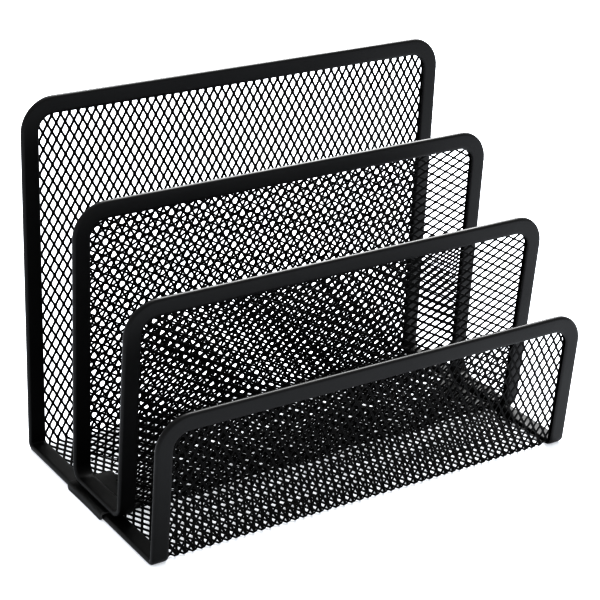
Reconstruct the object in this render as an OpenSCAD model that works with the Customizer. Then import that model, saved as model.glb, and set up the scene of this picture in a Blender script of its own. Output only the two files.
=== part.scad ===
// Desk organizer: a letter sorter of black coated steel.
// A U-shaped mesh tray (back, floor, front) has its edges folded into a narrow steel rim.
// A second, narrower U of the same make sits inside it and forms the two dividers.
// A steel clip under each end of its floor folds down over the tray's side rail and holds it in place.
// +Z is up, the low front panel faces -Y, and the origin is the bottom centre of the bounding box.

/* [Tray] */
// Width of the tray across its side rails
tray_w = 175; // [140:1:230]
// Distance between the feet of the front and back panels, middle to middle
foot_span = 93.9; // [80:0.1:130]
// Length of the back panel, measured up its slope from the table
back_len = 135; // [120:0.5:170]
// Forward lean of the back panel in degrees
back_lean = 1.5; // [0.5:0.1:4]
// Length of the front panel, measured up its slope from the table
front_len = 56.4; // [45:0.1:70]
// Forward lean of the front panel in degrees
front_lean = 5; // [3:0.1:10]
// Outer radius of the fold between the floor and each end panel
tray_fold_r = 3; // [2.5:0.1:4]

/* [Divider insert] */
// Width of the two divider panels
insert_w = 172; // [136:1:228]
// Length of the tall divider, measured up its slope from the table
tall_len = 108.2; // [95:0.1:118]
// Forward lean of the tall divider in degrees
tall_lean = 2.6; // [0.5:0.1:5]
// Distance from the back panel's foot to the tall divider's foot
tall_setback = 33.9; // [28:0.1:38]
// Length of the short divider, measured up its slope from the table
short_len = 86.8; // [72:0.1:94]
// Forward lean of the short divider in degrees
short_lean = 5.2; // [2:0.1:8]
// Distance from the tall divider's foot to the short divider's foot
divider_gap = 33.2; // [28:0.1:40]
// Outer radius of the fold between the insert's floor and each divider panel
insert_fold_r = 6; // [5:0.1:7]

/* [Clips] */
// Thickness of the clips' sheet steel
clip_t = 0.9; // [0.5:0.1:1]
// Length of each clip along the rail, from the tall divider's foot towards the front
clip_len = 26; // [15:1:32]
// How far each clip reaches in under the insert, from the insert's outer edge
clip_reach = 15; // [8:0.5:20]

/* [Rim] */
// Width of the folded rim's face
rim_w = 6.4; // [5:0.1:8]
// Thickness of the folded rim
rim_t = 2.2; // [1.8:0.1:3]
// Outer radius of each panel's top corners
corner_r = 12.5; // [10:0.5:16]
// Depth of the groove that grips the mesh
groove_d = 4.4; // [3:0.1:4.6]

/* [Mesh] */
// Thickness of the mesh sheet over its strands
mesh_t = 0.8; // [0.6:0.1:1]

/* [Hidden] */
$fn = 64;

half_t = rim_t / 2;
tray_half = tray_w / 2;
insert_half = insert_w / 2;
fit_gap = 0.05;
overlap = 1;
groove_t = mesh_t + 2 * fit_gap;
mesh_inset = rim_w - groove_d + 2 * fit_gap;
insert_base_z = rim_t + clip_t;

// Middle of the fold between a floor at height base and a panel that leans forward by lean.
// The floor runs towards -Y from the panel's foot; a floor on the other side is a mirror image.
function fold_y(foot, lean, base, r) = foot + (half_t - r - (base + r) * sin(lean)) / cos(lean);
// Distance up the panel at which its fold ends and its straight stretch begins
function fold_end(foot, lean, base, r) =
    (foot - fold_y(foot, lean, base, r)) * sin(lean) + (base + r) * cos(lean);

// The bounding box runs from the front panel's top edge to the outside of the back fold
y_front_edge = -foot_span / 2 - front_len * sin(front_lean) - half_t * cos(front_lean);
y_back_edge = fold_y(foot_span / 2, back_lean, 0, tray_fold_r) + tray_fold_r;
y_shift = -(y_front_edge + y_back_edge) / 2;

back_foot = foot_span / 2 + y_shift;
front_foot = -foot_span / 2 + y_shift;
tall_foot = back_foot - tall_setback;
short_foot = tall_foot - divider_gap;

back_start = fold_end(back_foot, back_lean, 0, tray_fold_r);
front_start = fold_end(-front_foot, -front_lean, 0, tray_fold_r);
tall_start = fold_end(tall_foot, tall_lean, insert_base_z, insert_fold_r);
short_start = fold_end(-short_foot, -short_lean, insert_base_z, insert_fold_r);

back_fold_y = fold_y(back_foot, back_lean, 0, tray_fold_r);
front_fold_y = -fold_y(-front_foot, -front_lean, 0, tray_fold_r);
tall_fold_y = fold_y(tall_foot, tall_lean, insert_base_z, insert_fold_r);
short_fold_y = -fold_y(-short_foot, -short_lean, insert_base_z, insert_fold_r);

// Box between two corners
module slab(low, high) {
    translate(low) cube(high - low);
}

// Copies its children to both sides of the middle plane
module both_sides() {
    children();
    mirror([1, 0, 0]) children();
}

// Stands a flat drawing up as a panel: drawing y runs up the slope, thickness is centred
module lean_up(foot, lean, thickness) {
    translate([0, foot, 0])
        rotate([90 + lean, 0, 0])
            linear_extrude(height = thickness, center = true)
                children();
}

// Panel outline with rounded top corners, from height start up to len, drawn in by inset
module outline(half, len, start, inset) {
    r = corner_r - inset;
    w = half - inset;
    top = len - inset;
    translate([-w, start]) square([2 * w, top - r - start]);
    translate([-(w - r), start]) square([2 * (w - r), top - start]);
    for (side = [-1, 1])
        translate([side * (w - r), top - r]) circle(r = r);
}

// Folded rim round a panel: an upside-down U with a groove for the mesh on its inner edge
module rim_frame(half, len, start, foot, lean) {
    difference() {
        lean_up(foot, lean, rim_t)
            difference() {
                outline(half, len, start, 0);
                outline(half, len, start - overlap, rim_w);
            }
        lean_up(foot, lean, groove_t)
            outline(half, len, start - overlap, rim_w - groove_d);
    }
}

// Quarter-round fold from a floor up into a panel, between two places along X
module fold(y, z, r_in, r_out, x_low, x_high, sweep) {
    translate([0, y, z])
        rotate([90, 0, 90])
            rotate([0, 0, -90])
                rotate_extrude(angle = sweep, $fn = 96)
                    translate([r_in, x_low])
                        square([r_out - r_in, x_high - x_low]);
}

// Fold of the grooved rim on the right-hand side
module rim_fold(half, y, base, r, sweep) {
    r_mid = r - half_t;
    difference() {
        fold(y, base + r, r - rim_t, r, half - rim_w, half, sweep);
        fold(y, base + r, r_mid - groove_t / 2, r_mid + groove_t / 2,
            half - rim_w - overlap, half - rim_w + groove_d, sweep);
    }
}

// Right-hand grooved side rail at height base, with the fold that leads up to each panel
module rail(half, base, r, y_low, y_high, low_lean, high_lean) {
    groove_low = base + half_t - groove_t / 2;
    difference() {
        slab([half - rim_w, y_low, base], [half, y_high, base + rim_t]);
        slab([half - rim_w - overlap, y_low - overlap, groove_low],
            [half - rim_w + groove_d, y_high + overlap, groove_low + groove_t]);
    }
    rim_fold(half, y_high, base, r, 90 + high_lean);
    mirror([0, 1, 0])
        rim_fold(half, -y_low, base, r, 90 - low_lean);
}

// Mesh floor at height base: the same sheet as its panels, with the fold that leads up to each
module mesh_floor(half, base, r, y_low, y_high, low_lean, high_lean) {
    x_edge = half - mesh_inset;
    r_mid = r - half_t;
    r_low = r_mid - mesh_t / 2;
    r_high = r_mid + mesh_t / 2;
    z_low = base + half_t - mesh_t / 2;
    slab([-x_edge, y_low, z_low], [x_edge, y_high, z_low + mesh_t]);
    fold(y_high, base + r, r_low, r_high, -x_edge, x_edge, 90 + high_lean);
    mirror([0, 1, 0])
        fold(-y_low, base + r, r_low, r_high, -x_edge, x_edge, 90 - low_lean);
}

module tray_rail() {
    rail(tray_half, 0, tray_fold_r, front_fold_y, back_fold_y, front_lean, back_lean);
}

module divider_rail() {
    rail(insert_half, insert_base_z, insert_fold_r, short_fold_y, tall_fold_y, short_lean, tall_lean);
}

// Right-hand clip: a strip that lies under the insert, runs out over the tray's rail and folds down
module clip() {
    y_high = tall_foot;
    y_low = y_high - clip_len;
    slab([insert_half - clip_reach, y_low, rim_t], [tray_half, y_high, rim_t + clip_t]);
    slab([tray_half, y_low, 0], [tray_half + clip_t, y_high, rim_t]);
    intersection() {
        translate([tray_half, y_low, rim_t])
            rotate([-90, 0, 0])
                cylinder(r = clip_t, h = clip_len);
        slab([tray_half, y_low, rim_t], [tray_half + clip_t, y_high, rim_t + clip_t]);
    }
}

module back_frame() {
    color([0.07, 0.07, 0.075])
        rim_frame(tray_half, back_len, back_start, back_foot, back_lean);
}

module front_frame() {
    color([0.07, 0.07, 0.075])
        rim_frame(tray_half, front_len, front_start, front_foot, front_lean);
}

module base_rail_left() {
    color([0.07, 0.07, 0.075])
        mirror([1, 0, 0]) tray_rail();
}

module base_rail_right() {
    color([0.07, 0.07, 0.075])
        tray_rail();
}

module tall_divider_frame() {
    color([0.07, 0.07, 0.075])
        rim_frame(insert_half, tall_len, tall_start, tall_foot, tall_lean);
}

module short_divider_frame() {
    color([0.07, 0.07, 0.075])
        rim_frame(insert_half, short_len, short_start, short_foot, short_lean);
}

module divider_rail_left() {
    color([0.07, 0.07, 0.075])
        mirror([1, 0, 0]) divider_rail();
}

module divider_rail_right() {
    color([0.07, 0.07, 0.075])
        divider_rail();
}

module clip_left() {
    color([0.06, 0.065, 0.065])
        mirror([1, 0, 0]) clip();
}

module clip_right() {
    color([0.06, 0.065, 0.065])
        clip();
}

module back_mesh() {
    color([0.05, 0.05, 0.055])
        lean_up(back_foot, back_lean, mesh_t)
            outline(tray_half, back_len, back_start, mesh_inset);
}

module front_mesh() {
    color([0.05, 0.05, 0.055])
        lean_up(front_foot, front_lean, mesh_t)
            outline(tray_half, front_len, front_start, mesh_inset);
}

module floor_mesh() {
    color([0.05, 0.05, 0.055])
        mesh_floor(tray_half, 0, tray_fold_r, front_fold_y, back_fold_y, front_lean, back_lean);
}

// The insert's mesh floor is notched over each clip, up to the end of the tall divider's fold
module divider_floor_mesh() {
    color([0.05, 0.05, 0.055])
        difference() {
            mesh_floor(insert_half, insert_base_z, insert_fold_r, short_fold_y, tall_fold_y,
                short_lean, tall_lean);
            both_sides()
                slab([insert_half - clip_reach, tall_foot - clip_len, insert_base_z],
                    [insert_half, tall_foot + rim_t, insert_base_z + insert_fold_r + overlap]);
        }
}

module tall_divider_mesh() {
    color([0.05, 0.05, 0.055])
        lean_up(tall_foot, tall_lean, mesh_t)
            outline(insert_half, tall_len, tall_start, mesh_inset);
}

module short_divider_mesh() {
    color([0.05, 0.05, 0.055])
        lean_up(short_foot, short_lean, mesh_t)
            outline(insert_half, short_len, short_start, mesh_inset);
}

back_frame();
front_frame();
base_rail_left();
base_rail_right();
back_mesh();
floor_mesh();
front_mesh();
tall_divider_frame();
short_divider_frame();
divider_rail_left();
divider_rail_right();
tall_divider_mesh();
divider_floor_mesh();
short_divider_mesh();
clip_left();
clip_right();
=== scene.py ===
# %% [markdown]
# # A mesh letter sorter in black coated steel
#
# The real object is two sheets of expanded steel mesh, each with its edges gripped by a narrow
# strip of folded steel, and each then bent into a U. The big U is the tray: back panel, floor,
# front panel. The small U sits inside it and is the pair of dividers. A steel clip under each end
# of its floor folds down over the tray's rail and holds it there. Because both were flat before
# they were bent, everything here is drawn flat first and then folded by one function, the way a
# sheet-metal shop works. The steps are: read the frame, write the fold, build the rims, the mesh
# and the clips, mix the coating, then set the light and the camera.

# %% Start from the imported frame
import math
import bpy
import numpy as np
from mathutils import Matrix, Vector


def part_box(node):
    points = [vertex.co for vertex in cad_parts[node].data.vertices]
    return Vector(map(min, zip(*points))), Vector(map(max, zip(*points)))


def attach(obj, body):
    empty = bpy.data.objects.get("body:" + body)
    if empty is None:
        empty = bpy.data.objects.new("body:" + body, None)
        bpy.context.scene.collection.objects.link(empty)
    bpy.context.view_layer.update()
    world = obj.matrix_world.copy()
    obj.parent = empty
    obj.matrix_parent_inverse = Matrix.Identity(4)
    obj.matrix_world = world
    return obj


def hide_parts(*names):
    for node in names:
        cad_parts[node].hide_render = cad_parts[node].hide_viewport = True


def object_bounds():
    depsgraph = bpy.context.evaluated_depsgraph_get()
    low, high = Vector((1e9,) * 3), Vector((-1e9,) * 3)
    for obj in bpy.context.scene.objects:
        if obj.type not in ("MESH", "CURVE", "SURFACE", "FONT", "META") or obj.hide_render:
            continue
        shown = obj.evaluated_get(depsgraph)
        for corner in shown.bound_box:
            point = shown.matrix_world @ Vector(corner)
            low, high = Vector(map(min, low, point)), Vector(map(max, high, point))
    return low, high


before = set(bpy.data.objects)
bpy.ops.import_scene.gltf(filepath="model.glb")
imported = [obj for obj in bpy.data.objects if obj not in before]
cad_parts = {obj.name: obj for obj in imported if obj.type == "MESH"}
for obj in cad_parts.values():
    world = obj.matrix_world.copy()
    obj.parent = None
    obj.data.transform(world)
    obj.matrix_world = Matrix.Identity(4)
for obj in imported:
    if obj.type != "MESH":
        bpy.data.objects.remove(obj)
CAD_LOW, CAD_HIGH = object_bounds()
MM = 0.001
size_mm = [round((h - l) / MM, 1) for l, h in zip(CAD_LOW, CAD_HIGH)]
print("frame box in mm:", size_mm, "nodes:", len(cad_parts))

# %% [markdown]
# ## Reading the panels back out of the frame
#
# Each panel frame is a flat slab that leans a little towards the front. Its box alone tells the
# lean: a slab of length d and thickness t that leans by an angle a is d sin a + t cos a deep and
# d cos a + t sin a high. Solving those two for d and a gives the panel's place with no copied
# angles, so the looks can never drift away from the frame.

# %% Read one panel's foot, lean and length
RIM_T = 2.2 * MM          # thickness of the folded rim
RIM_W = 6.4 * MM          # width of the rim's face
CORNER_R = 12.5 * MM      # outer radius of the panels' top corners
TRAY_FOLD_R = 3.0 * MM    # outer radius of the folds between the tray's floor and its panels
INSERT_FOLD_R = 6.0 * MM  # outer radius of the folds between the insert's floor and the dividers
HALF_T = RIM_T / 2
SOLVE_ROUNDS = 40         # the lean settles long before this many


def read_panel(node):
    """Foot, lean, length and half width of a leaning slab. Depth = d sin a + t cos a and height =
    d cos a + t sin a, solved for a by repeating a = asin((depth - t cos a) / d)."""
    low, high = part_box(node)
    depth, height = high.y - low.y, high.z - low.z
    lean = 0.0
    for _ in range(SOLVE_ROUNDS):
        d = (height - RIM_T * math.sin(lean)) / math.cos(lean)
        lean = math.asin((depth - RIM_T * math.cos(lean)) / d)
    start = (low.z + HALF_T * math.sin(lean)) / math.cos(lean)
    foot = high.y + start * math.sin(lean) - HALF_T * math.cos(lean)
    return {"foot": foot, "lean": lean, "start": start, "length": start + d, "half": high.x}


PANELS = {name: read_panel(name) for name in
          ("back_frame", "tall_divider_frame", "short_divider_frame", "front_frame")}
for name, p in PANELS.items():
    print(f"{name}: foot y {p['foot'] / MM:.2f} mm, leans {math.degrees(p['lean']):.2f} degrees,"
          f" length {p['length'] / MM:.1f} mm, half width {p['half'] / MM:.1f} mm")

# %% [markdown]
# ## Folding a flat sheet
#
# A folded sheet is a line carried along X. Seen from the side, that line is five stretches: down
# the front panel, round a fold, along the floor, round a second fold, and up the back panel. On
# each stretch the direction either stays the same or turns at a steady rate, so a point at
# distance s along it has a closed formula, and whole arrays of points can be folded at once.

# %% The folded line of a U-shaped sheet
class FoldedSheet:
    """A flat pattern with coordinates (x, run, out): x across, run along the sheet from the front
    panel's top edge to the back panel's, out towards the U's outside, from the sheet's
    middle."""

    def __init__(self, front, back, base, fold_r):
        mid_r = fold_r - HALF_T
        front_y = -self.fold_centre(-front["foot"], -front["lean"], base, fold_r)
        back_y = self.fold_centre(back["foot"], back["lean"], base, fold_r)
        self.half = back["half"]
        self.base = base
        front_turn = math.pi / 2 - front["lean"]
        back_turn = math.pi / 2 + back["lean"]
        front_flat = front["length"] - front["start"]
        back_flat = back["length"] - back["start"]
        lengths = [front_flat, mid_r * front_turn, back_y - front_y, mid_r * back_turn, back_flat]
        self.marks = np.concatenate([[0.0], np.cumsum(lengths)])
        self.total = float(self.marks[-1])
        self.curves = np.array([0.0, 1 / mid_r, 0.0, 1 / mid_r, 0.0])
        turns = self.curves * np.array(lengths)
        self.angles = front["lean"] - math.pi / 2 + np.concatenate([[0.0], np.cumsum(turns)[:-1]])
        top = [front["foot"] - front["length"] * math.sin(front["lean"]),
               front["length"] * math.cos(front["lean"])]
        starts = [np.array(top)]
        for k in range(4):
            starts.append(starts[-1] + self.step(k, np.array([lengths[k]]))[0])
        self.starts = np.array(starts)

    @staticmethod
    def fold_centre(foot, lean, base, fold_r):
        """Y of a fold's middle: where a circle of the fold's radius, standing on the floor,
        touches the panel's outer face."""
        return foot + (HALF_T - fold_r - (base + fold_r) * math.sin(lean)) / math.cos(lean)

    def step(self, k, s):
        """Move along stretch k by s: a chord of length s sinc(turn / 2) at the mean direction."""
        half_turn = np.take(self.curves, k) * s / 2
        chord = s * np.sinc(half_turn / math.pi)
        mean = np.take(self.angles, k) + half_turn
        return np.stack([chord * np.cos(mean), chord * np.sin(mean)], axis=-1)

    def __call__(self, x, run, out):
        """Fold arrays of flat points: the line's point at run, plus out along its outward normal,
        which is the direction turned a quarter turn clockwise."""
        k = np.clip(np.searchsorted(self.marks, run, side="right") - 1, 0, 4)
        s = run - self.marks[k]
        here = self.starts[k] + self.step(k, s)
        angle = self.angles[k] + self.curves[k] * s
        return np.stack([x + 0 * run, here[..., 0] + out * np.sin(angle),
                         here[..., 1] - out * np.cos(angle)], axis=-1)


INSERT_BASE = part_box("divider_rail_left")[0].z    # the insert stands this high, on its clips
tray = FoldedSheet(PANELS["front_frame"], PANELS["back_frame"], 0.0, TRAY_FOLD_R)
insert = FoldedSheet(PANELS["short_divider_frame"], PANELS["tall_divider_frame"],
                     INSERT_BASE, INSERT_FOLD_R)
print(f"flat tray {2 * tray.half / MM:.0f} x {tray.total / MM:.1f} mm,"
      f" flat insert {2 * insert.half / MM:.0f} x {insert.total / MM:.1f} mm")

# %% [markdown]
# ## From arrays to a mesh
#
# Every piece ends as an array of points and an array of four-cornered faces, so one helper puts
# both into Blender with foreach_set, which is much faster than adding faces one by one. It can
# also store a number on each point, such as how near the point is to an edge, for the coating to
# read.

# %% Turn arrays into a Blender object
def make_piece(name, points, faces, attributes=None, smooth=True):
    """points is (n, 3). faces is a list of (m, 3) and (k, 4) index arrays."""
    mesh = bpy.data.meshes.new(name)
    loops = np.concatenate([f.ravel() for f in faces]).astype(np.int32)
    sizes = np.concatenate([np.full(len(f), f.shape[1]) for f in faces]).astype(np.int32)
    starts = np.concatenate([[0], np.cumsum(sizes)[:-1]]).astype(np.int32)
    mesh.vertices.add(len(points))
    mesh.vertices.foreach_set("co", points.astype(np.float32).ravel())
    mesh.loops.add(len(loops))
    mesh.loops.foreach_set("vertex_index", loops)
    mesh.polygons.add(len(sizes))
    mesh.polygons.foreach_set("loop_start", starts)
    mesh.polygons.foreach_set("loop_total", sizes)
    mesh.polygons.foreach_set("use_smooth", np.full(len(sizes), smooth))
    for key, values in (attributes or {}).items():
        layer = mesh.attributes.new(key, "FLOAT", "POINT")
        layer.data.foreach_set("value", values.astype(np.float32).ravel())
    mesh.update(calc_edges=True)
    mesh.validate()
    piece = bpy.data.objects.new(name, mesh)
    bpy.context.scene.collection.objects.link(piece)
    return piece


def grid_faces(rows, columns, wrap_rows, wrap_columns):
    """Four-cornered faces of a rows by columns grid of points, joined up where it wraps round."""
    r = np.arange(rows if wrap_rows else rows - 1)
    c = np.arange(columns if wrap_columns else columns - 1)
    r, c = np.meshgrid(r, c, indexing="ij")
    r2, c2 = (r + 1) % rows, (c + 1) % columns
    return np.stack([r * columns + c, r * columns + c2, r2 * columns + c2, r2 * columns + c],
                    axis=-1).reshape(-1, 4)


def count_triangles(piece):
    """How many triangles a piece has, counting a face of n corners as n - 2."""
    sizes = np.zeros(len(piece.data.polygons), np.int32)
    piece.data.polygons.foreach_get("loop_total", sizes)
    return int((sizes - 2).sum())

# %% [markdown]
# ## The folded rim
#
# The rim is strip steel, folded lengthwise over the sheet's edge like a staple, so its section is
# a flattened U: a round back where the fold is, two faces, and two inner edges that curl in
# towards the mesh. A modeller could bevel a bar, but the curl on both sides is what catches the
# light, so the section is drawn as a curve and carried round the sheet's flat outline before it
# is folded.

# %% Section of the rim
STRIP_T = 0.6 * MM      # thickness of the strip itself
CURL = 1.3 * MM         # how far from the inner edge the face starts to curl in
CURL_DROP = 0.5 * MM    # how far it curls in
LIP = 0.5 * MM          # length of the cut edge's slope, inside
LIP_CUT = 0.1 * MM      # how far the cut edge is set back
BACK_ROUND = 0.2 * MM   # rounding inside the fold
EDGE_FADE = 0.5 * MM    # how far from an edge the wear fades


def rim_section(steps=9):
    """Closed curve of (inward, out) points. Half circle of radius t / 2 at the fold, a flat face,
    then a quarter ellipse down to the cut edge, back along the slit, and the same below,
    mirrored."""
    turn = np.linspace(0, math.pi / 2, steps)
    back_in = HALF_T - HALF_T * np.cos(turn)
    back_out = HALF_T * np.sin(turn)
    face_in = np.linspace(HALF_T, RIM_W - CURL, 4)[1:-1]
    face_out = np.full(2, HALF_T)
    curl_in = RIM_W - CURL + CURL * np.sin(turn)
    curl_out = HALF_T - CURL_DROP * (1 - np.cos(turn))
    slit = HALF_T - STRIP_T
    inner_in = np.array([RIM_W - LIP_CUT, RIM_W - LIP, HALF_T, STRIP_T + BACK_ROUND])
    inner_out = np.array([slit, slit, slit, slit * 0.6])
    upper_in = np.concatenate([back_in, face_in, curl_in, inner_in])
    upper_out = np.concatenate([back_out, face_out, curl_out, inner_out])
    lower = slice(None, 0, -1)
    section_in = np.concatenate([upper_in, upper_in[lower]])
    section_out = np.concatenate([upper_out, -upper_out[lower]])
    return section_in, section_out


section_in, section_out = rim_section()
print("rim section:", len(section_in), "points,", round(section_in.max() / MM, 2), "mm wide")

# %% [markdown]
# The path is a rounded rectangle in the flat pattern. Along its long sides it needs extra
# stations where the sheet will be folded and a few between, and each round corner gets a fan of
# them.

# %% Outline of a flat sheet as stations with inward directions
CORNER_STEPS, FOLD_STEPS = 14, 12          # stations round a corner and round a fold
FRONT_STEPS, FLOOR_STEPS = 14, 14          # stations along the front panel's side and the floor
BACK_STEPS, ACROSS_STEPS = 20, 26          # stations along the back panel's side and across


def outline_path(sheet):
    """Points and inward directions round the sheet's flat outline. On a corner the inward
    direction turns steadily, and the point is the corner's middle minus the radius times that
    direction."""
    m, half, r = sheet.marks, sheet.half, CORNER_R
    side = np.concatenate([
        np.linspace(r, m[1], FRONT_STEPS)[1:-1], np.linspace(m[1], m[2], FOLD_STEPS)[:-1],
        np.linspace(m[2], m[3], FLOOR_STEPS)[:-1], np.linspace(m[3], m[4], FOLD_STEPS)[:-1],
        np.linspace(m[4], sheet.total - r, BACK_STEPS)[:-1]])
    across = np.linspace(-(half - r), half - r, ACROSS_STEPS)[1:-1]
    fan = np.linspace(0, math.pi / 2, CORNER_STEPS)
    pieces = []

    def corner(cx, cy, begin):
        inward = np.stack([np.cos(begin + fan), np.sin(begin + fan)], axis=-1)
        pieces.append((np.array([cx, cy]) - r * inward, inward))

    def straight(xs, runs, inward):
        spots = np.stack(np.broadcast_arrays(xs, runs), axis=-1)
        pieces.append((spots, np.broadcast_to(np.array(inward, float), spots.shape)))

    corner(half - r, r, math.pi / 2)
    straight(half, side, (-1, 0))
    corner(half - r, sheet.total - r, math.pi)
    straight(across[::-1], sheet.total, (0, -1))
    corner(-(half - r), sheet.total - r, -math.pi / 2)
    straight(-half, side[::-1], (1, 0))
    corner(-(half - r), r, 0.0)
    straight(across, 0.0, (0, 1))
    return np.concatenate([p[0] for p in pieces]), np.concatenate([p[1] for p in pieces])


def build_rim(name, sheet):
    """Section times path: flat point = station + inward distance x inward direction, then
    folded."""
    spots, inward = outline_path(sheet)
    flat = spots[:, None, :] + section_in[None, :, None] * inward[:, None, :]
    out = np.broadcast_to(section_out, flat.shape[:2])
    points = sheet(flat[..., 0], flat[..., 1], out).reshape(-1, 3)
    edge = np.exp(-(np.minimum(section_in, RIM_W - section_in) / EDGE_FADE) ** 2)
    edge = np.broadcast_to(edge, flat.shape[:2])
    faces = grid_faces(len(spots), len(section_in), True, True)
    piece = make_piece(name, points, [faces], {"edge": edge})
    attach(piece, "root")
    print(name, "has", count_triangles(piece), "triangles")
    return piece


tray_rim = build_rim("tray_rim", tray)
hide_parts("back_frame", "front_frame", "base_rail_left", "base_rail_right")
divider_rim = build_rim("divider_rim", insert)
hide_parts("tall_divider_frame", "short_divider_frame", "divider_rail_left",
            "divider_rail_right")

# %% [markdown]
# ## Expanded mesh
#
# Expanded metal starts as a solid sheet. A press cuts rows of short slits and pulls, and each
# slit opens into a diamond. Nothing is woven: the strands are one sheet, they are twice as wide
# where they meet, and pulling twists them, so one edge of each strand stands proud. Modelling it
# as crossed wires would miss that. Here each diamond is a cell with a six-sided hole in it; cells
# share their corner points, and the two sides of a hole are lifted and lowered to give the
# strands their twist.

# %% Cells of the mesh in the flat pattern
SHORT_WAY = 3.37 * MM   # pitch across a diamond
LONG_WAY = 6.10 * MM    # pitch along it
SHEET_T = 0.25 * MM     # thickness of the steel
TWIST = 0.10 * MM       # how far a strand's edges are lifted and lowered
TRAY_OPEN = 0.70        # size of a hole as a share of its diamond, in the tray's sheet
INSERT_OPEN = 0.76      # the same in the insert's, which is cut with slightly finer strands
SIDE_SHARE = 0.93       # how far out a hole's cut-off side is, as a share of the hole's size
CUT_SHARE = 0.13        # half the length of that side, likewise


def diamond_cells(reach):
    """Integer places (i, j), with i + j odd, of all diamonds within reach of the starting knot,
    counted in half pitches."""
    most_i, most_j = int(2 * reach / SHORT_WAY), int(2 * reach / LONG_WAY)
    i, j = np.meshgrid(np.arange(-most_i, most_i + 1), np.arange(-most_j, most_j + 1),
                       indexing="ij")
    odd = (i + j) % 2 == 1
    return np.stack([i[odd], j[odd]], axis=-1)


def hole_shape(share):
    """Six points round a hole of this share, in half pitches: sharp ends the long way, and sides
    cut short where the strands run together. The third number is the lift, +1 or -1, from the
    twist."""
    tip = share
    side = share * SIDE_SHARE
    cut = share * CUT_SHARE
    return np.array([[side, cut, 1], [0, tip, 0], [-side, cut, -1],
                     [-side, -cut, -1], [0, -tip, 0], [side, -cut, 1]])


def mesh_from_cells(cells, share):
    """Points (u, v, lift, level) in half pitches, and faces. level is +1 on the outside, -1
    inside. Corners are shared: a corner's key is its whole-number place, and np.unique numbers
    the keys."""
    n = len(cells)
    corner_steps = np.array([[1, 0], [0, 1], [-1, 0], [0, -1]])
    keys = (cells[:, None, :] + corner_steps[None]).reshape(-1, 2)
    knots, index = np.unique(keys, axis=0, return_inverse=True)
    index = index.reshape(n, 4)
    shape = hole_shape(share)
    rim_points = (cells[:, None, :] + shape[None, :, :2]).reshape(-1, 2)
    lifts = np.concatenate([np.zeros(len(knots)), np.tile(shape[:, 2], n)])
    flat = np.concatenate([knots.astype(float), rim_points])
    count = len(flat)
    right, top, left, bottom = index.T
    h = len(knots) + 6 * np.arange(n)[:, None] + np.arange(6)[None, :]
    quads = np.concatenate([
        np.stack([right, top, h[:, 1], h[:, 0]], axis=-1),
        np.stack([top, left, h[:, 2], h[:, 1]], axis=-1),
        np.stack([left, bottom, h[:, 4], h[:, 3]], axis=-1),
        np.stack([bottom, right, h[:, 5], h[:, 4]], axis=-1)])
    thirds = np.concatenate([
        np.stack([left, h[:, 3], h[:, 2]], axis=-1),
        np.stack([right, h[:, 0], h[:, 5]], axis=-1)])
    ring = np.stack([h, np.roll(h, -1, axis=1)], axis=-1).reshape(-1, 2)
    walls = np.stack([ring[:, 0], ring[:, 1], ring[:, 1] + count, ring[:, 0] + count], axis=-1)
    sides = np.stack([index, np.roll(index, -1, axis=1)], axis=-1).reshape(-1, 2)
    ordered = np.sort(sides, axis=1)
    _, first, times = np.unique(ordered, axis=0, return_index=True, return_counts=True)
    lone = sides[first[times == 1]]
    border = np.stack([lone[:, 1], lone[:, 0], lone[:, 0] + count, lone[:, 1] + count], axis=-1)
    points = np.concatenate([np.column_stack([flat, lifts, np.full(count, level)])
                             for level in (1.0, -1.0)])
    faces = [np.concatenate([quads, quads[:, ::-1] + count, walls, border]),
             np.concatenate([thirds, thirds[:, ::-1] + count])]
    knot_mark = np.tile(np.concatenate([np.ones(len(knots)), np.zeros(6 * n)]), 2)
    return points, faces, knot_mark


demo_points, demo_faces, _ = mesh_from_cells(np.array([[0, 1]]), TRAY_OPEN)
print("one cell:", len(demo_points), "points and", sum(len(f) for f in demo_faces), "faces")

# %% [markdown]
# A sheet is trimmed to its outline before the rim goes on. A cell stays if its middle is inside
# the outline by a margin, so that its far corners still end inside the rim's slit and none pokes
# through. Where the sheet is folded without a rim to hold it, it springs out a little, and over
# the clips it is notched.

# %% Lay the mesh into a sheet and fold it
HIDDEN = 3.3 * MM              # how far inside the outline a diamond's middle has to be
STRETCH = (0.95, 1.035)        # long way of the insert's diamonds on its short and tall divider
PULL = -1.15 * MM              # how far its rows are moved on between the two
SKEW = math.radians(-1.15)     # how far off square the insert's sheet was cut
SLACK = 0.5 * MM               # how far a sheet stands out of its folds, away from the rims
SLACK_WIDTH = 2.6 * MM         # half width of that swelling
SLACK_REACH = 5 * MM           # distance from the rim over which it starts
SPARE = 1.05                   # cells are made this much past the sheet's diagonal, then trimmed
NOTCH_GAP = (0.5 * MM, 1 * MM)  # the notch starts this much inside a clip's end and before its side
front_fold_mid = (tray.marks[1] + tray.marks[2]) / 2
back_fold_mid = (tray.marks[3] + tray.marks[4]) / 2
insert_mid = (insert.marks[1] + insert.marks[4]) / 2
rows = round((back_fold_mid - front_fold_mid) / (LONG_WAY / 2))
tray_long_way = 2 * (back_fold_mid - front_fold_mid) / rows
print(f"tray's long way set to {tray_long_way / MM:.3f} mm, so a row of knots lies in each fold")


def inside_outline(x, run, half, low, high, margin):
    """True where a flat point is inside a rectangle with round corners, by at least margin. In a
    corner's square, the distance from the corner's middle counts."""
    dx = half - np.abs(x)
    dy = np.minimum(high - run, run - low)
    in_corner = (dx < CORNER_R) & (dy < CORNER_R)
    away = np.hypot(CORNER_R - dx, CORNER_R - dy)
    return np.where(in_corner, away < CORNER_R - margin, np.minimum(dx, dy) > margin)


def tray_lay(u, v):
    """Tray: u half short ways across and v half long ways along the run, from the front fold."""
    return u * SHORT_WAY / 2, front_fold_mid + v * tray_long_way / 2


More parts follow.
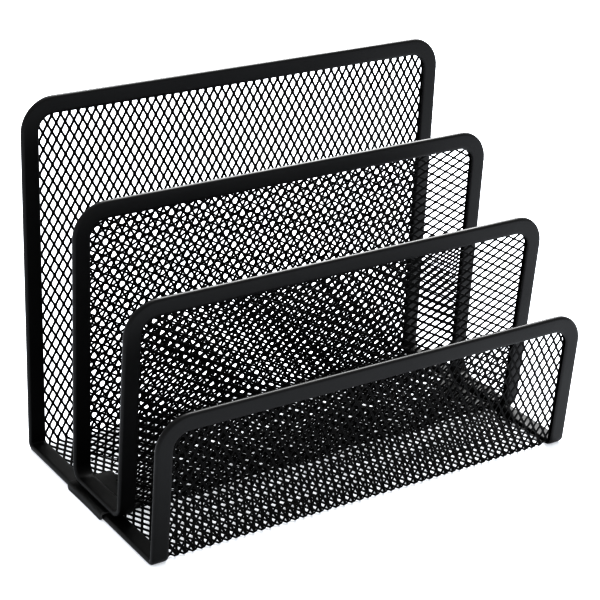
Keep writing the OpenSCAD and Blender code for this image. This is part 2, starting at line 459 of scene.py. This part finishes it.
def insert_lay(u, v):
    """Insert: the same sheet a quarter turn round, so its diamonds lie across, turned a little
    more by a careless cut. The sheet was pulled unevenly: by a smooth step 3t^2 - 2t^3 over
    the floor, its long way grows from STRETCH[0] on the short divider to STRETCH[1] on the
    tall one, and its rows move on by PULL."""
    run = insert_mid - u * SHORT_WAY / 2
    t = np.clip((run - insert.marks[1]) / (insert.marks[4] - insert.marks[1]), 0, 1)
    step = 3 * t ** 2 - 2 * t ** 3
    run = run + PULL * step
    x = v * LONG_WAY / 2 * (STRETCH[0] + (STRETCH[1] - STRETCH[0]) * step)
    c, s = math.cos(SKEW), math.sin(SKEW)
    return c * x - s * (run - insert_mid), insert_mid + s * x + c * (run - insert_mid)


def slack_out(x, run, sheet, fold_mids):
    """How far the sheet springs out: a bell curve exp(-(distance / width)^2) across each fold,
    times a smooth step that is zero at the rim and one a little way in from it."""
    room = np.clip((sheet.half - RIM_W - np.abs(x)) / SLACK_REACH, 0, 1)
    bells = sum(np.exp(-((run - mid) / SLACK_WIDTH) ** 2) for mid in fold_mids)
    return SLACK * bells * room * room * (3 - 2 * room)


def build_mesh(name, sheet, lay, share, fold_mids=(), notch=None):
    """Cells laid flat by lay(u, v), kept where the outline allows, and folded with the sheet.
    share is the size of the holes. notch is (x, low run, high run): cells beyond x on both
    sides between those runs are left out."""
    cells = diamond_cells(math.hypot(sheet.half, sheet.total) * SPARE)
    x, run = lay(cells[:, 0], cells[:, 1])
    keep = inside_outline(x, run, sheet.half, 0.0, sheet.total, HIDDEN)
    if notch:
        keep &= ~((np.abs(x) > notch[0]) & (run > notch[1]) & (run < notch[2]))
    cells = cells[keep]
    points, faces, knot_mark = mesh_from_cells(cells, share)
    x, run = lay(points[:, 0], points[:, 1])
    out = points[:, 2] * TWIST + points[:, 3] * SHEET_T / 2 + slack_out(x, run, sheet, fold_mids)
    # out points down on the floor, so (x, run, out) is left-handed and the faces are turned over
    faces = [part[:, ::-1] for part in faces]
    piece = make_piece(name, sheet(x, run, out), faces, {"edge": 1 - knot_mark}, smooth=False)
    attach(piece, "root")
    print(name, "has", len(cells), "diamonds,", count_triangles(piece), "triangles")
    return piece


tray_mesh = build_mesh("tray_mesh", tray, tray_lay, TRAY_OPEN, (front_fold_mid, back_fold_mid))
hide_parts("back_mesh", "floor_mesh", "front_mesh")
CLIP_LOW, CLIP_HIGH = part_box("clip_right")
clip_notch = (CLIP_LOW.x + NOTCH_GAP[0],
              insert.marks[2] + CLIP_LOW.y - insert.starts[2][0] - NOTCH_GAP[1], insert.marks[4])
divider_mesh = build_mesh("divider_mesh", insert, insert_lay, INSERT_OPEN, notch=clip_notch)
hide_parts("tall_divider_mesh", "divider_floor_mesh", "short_divider_mesh")

# %% [markdown]
# ## The clips
#
# A strip of sheet steel lies across each end of the insert's floor, between its rail and the
# tray's. Its outer end is hammered down over the tray's rail, which is all that holds the insert
# in. Such a strip is a flat rounded slab that is then bent, so it is drawn as a closed shell on a
# grid: two faces that meet in a round edge, laid along a line that runs out flat, turns a quarter
# and goes down.

# %% Two clips
CLIP_T = CLIP_HIGH.x - tray.half
CLIP_TOP = INSERT_BASE
CLIP_CORNER = 1.5 * MM  # radius of the strip's corners
CLIP_ROUND = 0.35 * MM  # width of its rounded edge
PRESS = 0.12 * MM       # how far the hammered end is dished
ROUND_STEPS = 5         # stations over a rounded edge
FLAT_STEPS, BEND_STEPS, DROP_STEPS = 24, 9, 6   # stations along the strip's three stretches
WIDTH_STEPS = 34        # stations across it


def clip_line(d):
    """Place (x, z) and outward direction at distance d along the strip's middle line: straight
    out, a quarter circle of half the strip's thickness round the rail's corner, then straight
    down."""
    bend_r = CLIP_T / 2
    flat = tray.half - CLIP_LOW.x
    angle = np.clip((d - flat) / bend_r, 0, math.pi / 2)
    past = np.maximum(d - flat - bend_r * math.pi / 2, 0)
    x = CLIP_LOW.x + np.minimum(d, flat) + bend_r * np.sin(angle)
    z = CLIP_TOP - CLIP_T + bend_r * np.cos(angle) - past
    return x, z, np.sin(angle), np.cos(angle)


def rounding():
    """Distances from an edge, close together near it: CLIP_ROUND times one minus a cosine."""
    return CLIP_ROUND * (1 - np.cos(np.linspace(0, math.pi / 2, ROUND_STEPS)))


def clip_stations():
    """Distances along the strip: close together at its two ends and round the bend."""
    flat = tray.half - CLIP_LOW.x
    bend = CLIP_T / 2 * math.pi / 2
    length = flat + bend + CLIP_TOP - CLIP_T
    stations = np.concatenate([rounding(), np.linspace(CLIP_ROUND, flat, FLAT_STEPS)[1:-1],
                               np.linspace(flat, flat + bend, BEND_STEPS),
                               np.linspace(flat + bend, length - CLIP_ROUND, DROP_STEPS)[1:],
                               length - rounding()[::-1][1:]])
    return stations, length


def build_clip(name, node_name, side):
    """Closed shell over stations (along the strip) x places across it. Half thickness falls to
    zero at the edge as a quarter circle, where both sides share their points, and corners are
    cut round by pulling the places in."""
    stations, length = clip_stations()
    half_w = (CLIP_HIGH.y - CLIP_LOW.y) / 2
    between = np.linspace(-half_w + CLIP_ROUND, half_w - CLIP_ROUND, WIDTH_STEPS)[1:-1]
    across = np.concatenate([-half_w + rounding(), between, half_w - rounding()[::-1]])
    d, c = np.meshgrid(stations, across, indexing="ij")
    end_gap = np.minimum(d, length - d)
    into = np.clip(CLIP_CORNER - end_gap, 0, CLIP_CORNER)
    shrink = CLIP_CORNER - np.sqrt(CLIP_CORNER ** 2 - into ** 2)
    c = c * (half_w - shrink) / half_w
    gap = np.minimum(half_w - shrink - np.abs(c), end_gap)
    lift = np.clip(gap / CLIP_ROUND, 0, 1)
    thick = CLIP_T / 2 * np.sqrt(1 - (1 - lift) ** 2)
    x, z, nx, nz = clip_line(d)
    dish = PRESS * nx * np.cos(math.pi / 2 * c / half_w) ** 2
    y = (CLIP_LOW.y + CLIP_HIGH.y) / 2 + c
    outer, inner = (np.stack([side * (x + (level * thick - dish) * nx), y,
                              z + level * thick * nz], axis=-1) for level in (1, -1))
    within = (slice(1, -1), slice(1, -1))
    points = np.concatenate([outer.reshape(-1, 3), inner[within].reshape(-1, 3)])
    under = np.arange(d.size).reshape(d.shape)
    under[within] = d.size + np.arange(under[within].size).reshape(under[within].shape)
    faces = grid_faces(len(stations), len(across), False, False)
    closed = np.concatenate([faces, under.ravel()[faces[:, ::-1]]])
    piece = make_piece(name, points, [closed if side < 0 else closed[:, ::-1]],
                       {"edge": np.concatenate([1 - lift.ravel(), 1 - lift[within].ravel()])})
    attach(piece, "root")
    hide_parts(node_name)
    print(name, "has", count_triangles(piece), "triangles")
    return piece


clips = [build_clip("clip_strip_left", "clip_left", -1),
         build_clip("clip_strip_right", "clip_right", 1)]

# %% [markdown]
# ## Shared effects for the coating
#
# Powder coat is sprayed on dry and baked, so it flows into a very fine orange peel and goes thin
# on sharp edges, where handling polishes it. Dust settles on what faces up. All finishes on this
# object share those effects, so each is a node group with named inputs, used with different
# values.

# %% Helpers for node groups
def new_group(name, inputs, outputs):
    """An empty shader group. inputs and outputs are (name, socket type, default)."""
    group = bpy.data.node_groups.new(name, "ShaderNodeTree")
    for label, kind, value in inputs:
        socket = group.interface.new_socket(label, in_out="INPUT", socket_type=kind)
        if value is not None:
            socket.default_value = value
    for label, kind in outputs:
        group.interface.new_socket(label, in_out="OUTPUT", socket_type=kind)
    return group, group.nodes.new("NodeGroupInput"), group.nodes.new("NodeGroupOutput")


def node(tree, kind, **settings):
    """Add a node and set its properties, and by a name with in_ before it, its input sockets."""
    made = tree.nodes.new(kind)
    for key, value in settings.items():
        if key.startswith("in_"):
            made.inputs[key[3:].replace("_", " ")].default_value = value
        else:
            setattr(made, key, value)
    return made


def maths(tree, operation, first, second=None):
    """A Math node on two sockets or numbers, and its result."""
    made = node(tree, "ShaderNodeMath", operation=operation)
    for slot, value in enumerate(v for v in (first, second) if v is not None):
        if isinstance(value, (int, float)):
            made.inputs[slot].default_value = value
        else:
            tree.links.new(value, made.inputs[slot])
    return made.outputs[0]


# %% Orange peel: a bump and a slight change of gloss
def peel_group():
    """Two noises of different size, added: the coat's flow, about 0.6 mm, and its fine grain."""
    group, inside, outside = new_group(
        "orange_peel",
        [("Flow Scale", "NodeSocketFloat", 1700.0), ("Grain Scale", "NodeSocketFloat", 6500.0),
         ("Depth", "NodeSocketFloat", 0.35)],
        [("Normal", "NodeSocketVector"), ("Patches", "NodeSocketFloat")])
    place = node(group, "ShaderNodeTexCoord")
    flow = node(group, "ShaderNodeTexNoise", in_Detail=2.0)
    grain = node(group, "ShaderNodeTexNoise", in_Detail=1.0)
    broad = node(group, "ShaderNodeTexNoise", in_Scale=60.0, in_Detail=3.0)
    for made, key in ((flow, "Flow Scale"), (grain, "Grain Scale")):
        group.links.new(place.outputs["Object"], made.inputs["Vector"])
        group.links.new(inside.outputs[key], made.inputs["Scale"])
    group.links.new(place.outputs["Object"], broad.inputs["Vector"])
    height = maths(group, "ADD", flow.outputs["Fac"],
                   maths(group, "MULTIPLY", grain.outputs["Fac"], 0.4))
    bump = node(group, "ShaderNodeBump", in_Distance=0.00004)
    group.links.new(inside.outputs["Depth"], bump.inputs["Strength"])
    group.links.new(height, bump.inputs["Height"])
    group.links.new(bump.outputs["Normal"], outside.inputs["Normal"])
    group.links.new(broad.outputs["Fac"], outside.inputs["Patches"])
    return group


# %% Edge wear, which on the clips is partly painted highlight, and dust, both as masks
def wear_group():
    """Mask of rubbed edges, which on the clips also carries a painted highlight: the mesh's own
    edge number times a noise, scaled and capped at one."""
    group, inside, outside = new_group(
        "edge_wear_and_highlight",
        [("Amount", "NodeSocketFloat", 0.5), ("Break Up", "NodeSocketFloat", 450.0)],
        [("Mask", "NodeSocketFloat")])
    edge = node(group, "ShaderNodeAttribute", attribute_name="edge")
    place = node(group, "ShaderNodeTexCoord")
    noise = node(group, "ShaderNodeTexNoise", in_Detail=4.0)
    group.links.new(place.outputs["Object"], noise.inputs["Vector"])
    group.links.new(inside.outputs["Break Up"], noise.inputs["Scale"])
    rubbed = maths(group, "MULTIPLY", edge.outputs["Fac"], noise.outputs["Fac"])
    scaled = maths(group, "MULTIPLY", rubbed, inside.outputs["Amount"])
    group.links.new(maths(group, "MINIMUM", scaled, 1.0), outside.inputs["Mask"])
    return group


def dust_group():
    """Mask of settled dust: how far the surface faces up, cubed, times a soft noise."""
    group, inside, outside = new_group(
        "settled_dust",
        [("Amount", "NodeSocketFloat", 0.3), ("Scale", "NodeSocketFloat", 180.0)],
        [("Mask", "NodeSocketFloat")])
    facing = node(group, "ShaderNodeNewGeometry")
    split = node(group, "ShaderNodeSeparateXYZ")
    group.links.new(facing.outputs["Normal"], split.inputs["Vector"])
    up = maths(group, "POWER", maths(group, "MAXIMUM", split.outputs["Z"], 0.0), 3.0)
    place = node(group, "ShaderNodeTexCoord")
    noise = node(group, "ShaderNodeTexNoise", in_Detail=5.0)
    group.links.new(place.outputs["Object"], noise.inputs["Vector"])
    group.links.new(inside.outputs["Scale"], noise.inputs["Scale"])
    specks = maths(group, "POWER", noise.outputs["Fac"], 2.0)
    mask = maths(group, "MULTIPLY", maths(group, "MULTIPLY", up, specks), inside.outputs["Amount"])
    group.links.new(mask, outside.inputs["Mask"])
    return group


GROUPS = {"peel": peel_group(), "wear": wear_group(), "dust": dust_group()}
print("node groups:", [g.name for g in GROUPS.values()])

# %% [markdown]
# ## The finishes
#
# Three finishes share the recipe and differ in depth and gloss: the rim's smooth satin, the mesh,
# whose coat is thick in the corners of the holes and which is painted darker than the rim as
# shade, and the clips, a little greyer and flatter, with pale edges that are partly wear and
# partly painted highlight.

# %% Black powder coat with its own values for each part
def coat_material(name, colour, worn_and_highlight, dust, gloss, shine, peel_depth, wear, dust_amount):
    """Principled shader. Base colour goes from the coat to its worn edge tone, which on the clips
    is partly a painted highlight, and then to dust; roughness rises and falls with the coat's
    broad patches, between the two numbers of gloss."""
    material = bpy.data.materials.new(name)
    material.use_nodes = True
    tree = material.node_tree
    shader = tree.nodes["Principled BSDF"]
    peel = node(tree, "ShaderNodeGroup", node_tree=GROUPS["peel"], in_Depth=peel_depth)
    rub_and_highlight = node(tree, "ShaderNodeGroup", node_tree=GROUPS["wear"], in_Amount=wear)
    settled = node(tree, "ShaderNodeGroup", node_tree=GROUPS["dust"], in_Amount=dust_amount)
    patch = node(tree, "ShaderNodeMix", data_type="RGBA")
    patch.inputs["A"].default_value = (*[c * 0.85 for c in colour], 1)
    patch.inputs["B"].default_value = (*[c * 1.2 for c in colour], 1)
    tree.links.new(peel.outputs["Patches"], patch.inputs["Factor"])
    edges = node(tree, "ShaderNodeMix", data_type="RGBA")
    edges.inputs["B"].default_value = (*worn_and_highlight, 1)
    tree.links.new(patch.outputs["Result"], edges.inputs["A"])
    tree.links.new(rub_and_highlight.outputs["Mask"], edges.inputs["Factor"])
    dusty = node(tree, "ShaderNodeMix", data_type="RGBA")
    dusty.inputs["B"].default_value = (*dust, 1)
    tree.links.new(edges.outputs["Result"], dusty.inputs["A"])
    tree.links.new(settled.outputs["Mask"], dusty.inputs["Factor"])
    tree.links.new(dusty.outputs["Result"], shader.inputs["Base Color"])
    rough = node(tree, "ShaderNodeMapRange")
    rough.inputs["To Min"].default_value = gloss[0]
    rough.inputs["To Max"].default_value = gloss[1]
    tree.links.new(peel.outputs["Patches"], rough.inputs["Value"])
    tree.links.new(rough.outputs["Result"], shader.inputs["Roughness"])
    tree.links.new(peel.outputs["Normal"], shader.inputs["Normal"])
    shader.inputs["Metallic"].default_value = 0.0
    shader.inputs["Specular IOR Level"].default_value = shine
    return material


def rim_coat():
    """Smooth satin black on the folded strip."""
    return coat_material("rim_powder_coat", colour=(0.003, 0.0031, 0.0033),
                         worn_and_highlight=(0.02, 0.02, 0.021), dust=(0.04, 0.04, 0.04), gloss=(0.36, 0.50),
                         shine=0.31, peel_depth=0.35, wear=0.5, dust_amount=0.12)


def mesh_coat_painted_shade():
    """The same powder on the mesh, painted a deeper black and less shiny than the rim as shade,
    with thin bright edges on the strands.
    """
    # painted shade: the mesh has the rim's powder, but its colour, worn tone, dust and shine are
    # set lower because it gets less light
    return coat_material("mesh_powder_coat_painted_shade", colour=(0.0015, 0.0015, 0.0016),
                         worn_and_highlight=(0.008, 0.008, 0.008), dust=(0.02, 0.02, 0.02), gloss=(0.45, 0.60),
                         shine=0.15, peel_depth=0.2, wear=0.3, dust_amount=0.08)


def clip_coat():
    """Flatter and a little greener on the clips, which were coated on their own, and pale along
    their cut edges, partly from rubbing and partly as a painted highlight."""
    # painted highlight: the pale edge tone and strong edge amount here stand partly for small
    # bright glints on the clips' edges, partly for wear
    return coat_material("clip_powder_coat", colour=(0.004, 0.0046, 0.0045),
                         worn_and_highlight=(0.16, 0.16, 0.16), dust=(0.04, 0.04, 0.04), gloss=(0.42, 0.58),
                         shine=0.31, peel_depth=0.35, wear=0.9, dust_amount=0.15)


for pieces, finish in (((tray_rim, divider_rim), rim_coat()),
                       ((tray_mesh, divider_mesh), mesh_coat_painted_shade()),
                       (clips, clip_coat())):
    for piece in pieces:
        piece.data.materials.append(finish)
    print(finish.name, "on", [p.name for p in pieces])

# %% [markdown]
# ## Floor, light and camera
#
# Product light for a black object is mostly white surroundings: black coat shows only what it
# reflects. A pale floor and a white world give the soft grey on the faces, and one large lamp
# above and behind on the right draws the bright line along each top edge and a faint shadow on
# the left.

# %% Floor
FLOOR_RINGS = (0.0001, 0.4, 1.2, 4.0)   # radii in metres
FLOOR_SIDES = 96


def build_floor():
    """A wide round disc, as rings round the object, at the height the rails stand on."""
    ring = np.array(FLOOR_RINGS)
    turn = np.linspace(0, 2 * math.pi, FLOOR_SIDES + 1)[:-1]
    r, t = np.meshgrid(ring, turn, indexing="ij")
    points = np.stack([r * np.cos(t), r * np.sin(t), np.zeros_like(r)], axis=-1).reshape(-1, 3)
    floor = make_piece("floor", points, [grid_faces(len(ring), len(turn), False, True)])
    material = bpy.data.materials.new("pale_floor")
    material.use_nodes = True
    shader = material.node_tree.nodes["Principled BSDF"]
    shader.inputs["Base Color"].default_value = (0.70, 0.72, 0.755, 1)
    shader.inputs["Emission Color"].default_value = (0.96, 0.98, 1.0, 1)
    shader.inputs["Emission Strength"].default_value = 0.27
    shader.inputs["Roughness"].default_value = 0.9
    shader.inputs["Specular IOR Level"].default_value = 0.1
    floor.data.materials.append(material)
    return floor


floor = build_floor()
print(floor.name, "is", 2 * FLOOR_RINGS[-1], "m across")

# %% World and lamps
ROOM_LIGHT = 0.85                # strength of the white surroundings
KEY_PLACE = (0.45, 0.35, 0.75)   # metres
KEY_SIZE = 0.5                   # metres
KEY_POWER = 16.0                 # watts


def build_world(strength):
    """Even white surroundings."""
    world = bpy.data.worlds.new("white_room")
    world.use_nodes = True
    background = world.node_tree.nodes["Background"]
    background.inputs["Color"].default_value = (1.0, 1.0, 1.0, 1)
    background.inputs["Strength"].default_value = strength
    bpy.context.scene.world = world


def area_lamp(name, place, aim, size, watts, colour):
    """A square soft lamp at place, turned to face aim."""
    data = bpy.data.lights.new(name, "AREA")
    data.shape = "SQUARE"
    data.size = size
    data.energy = watts
    data.color = colour
    lamp = bpy.data.objects.new(name, data)
    bpy.context.scene.collection.objects.link(lamp)
    lamp.location = place
    lamp.rotation_mode = "QUATERNION"
    lamp.rotation_quaternion = (Vector(place) - Vector(aim)).to_track_quat("Z", "Y")
    return lamp


build_world(ROOM_LIGHT)
centre = (CAD_LOW + CAD_HIGH) / 2
area_lamp("key", KEY_PLACE, centre, KEY_SIZE, KEY_POWER, (1.0, 1.0, 1.0))

# %% Camera
VIEW_AZIMUTH = -33.11   # degrees; 0 looks along +Y
VIEW_HEIGHT = 23.81     # degrees above the horizon
VIEW_ROLL = 1.55        # degrees
VIEW_DISTANCE = 0.6546  # metres from the point aimed at
LENS, SENSOR = 110.34, 36   # millimetres
NEAR, FAR = 0.01, 50    # metres
AIM_OFFSET = Vector((-0.0038, -0.00207, -0.00586))   # from the box's middle to the point aimed at


def build_camera():
    """A camera on a sphere round the aim point, turned to face it, then rolled about its own
    axis."""
    data = bpy.data.cameras.new("camera")
    data.lens = LENS
    data.sensor_width = SENSOR
    data.clip_start, data.clip_end = NEAR, FAR
    camera = bpy.data.objects.new("camera", data)
    bpy.context.scene.collection.objects.link(camera)
    a, e = math.radians(VIEW_AZIMUTH), math.radians(VIEW_HEIGHT)
    back = Vector((math.sin(a) * math.cos(e), -math.cos(a) * math.cos(e), math.sin(e)))
    camera.location = centre + AIM_OFFSET + back * VIEW_DISTANCE
    facing = back.to_track_quat("Z", "Y").to_matrix().to_4x4()
    camera.rotation_mode = "QUATERNION"
    camera.rotation_quaternion = (facing @ Matrix.Rotation(math.radians(VIEW_ROLL), 4, "Z")
                                  ).to_quaternion()
    bpy.context.scene.camera = camera
    return camera


camera = build_camera()
bpy.context.scene.view_settings.view_transform = "Standard"
bpy.context.scene.view_settings.look = "Very High Contrast"
print("camera at", [round(c, 3) for c in camera.location])
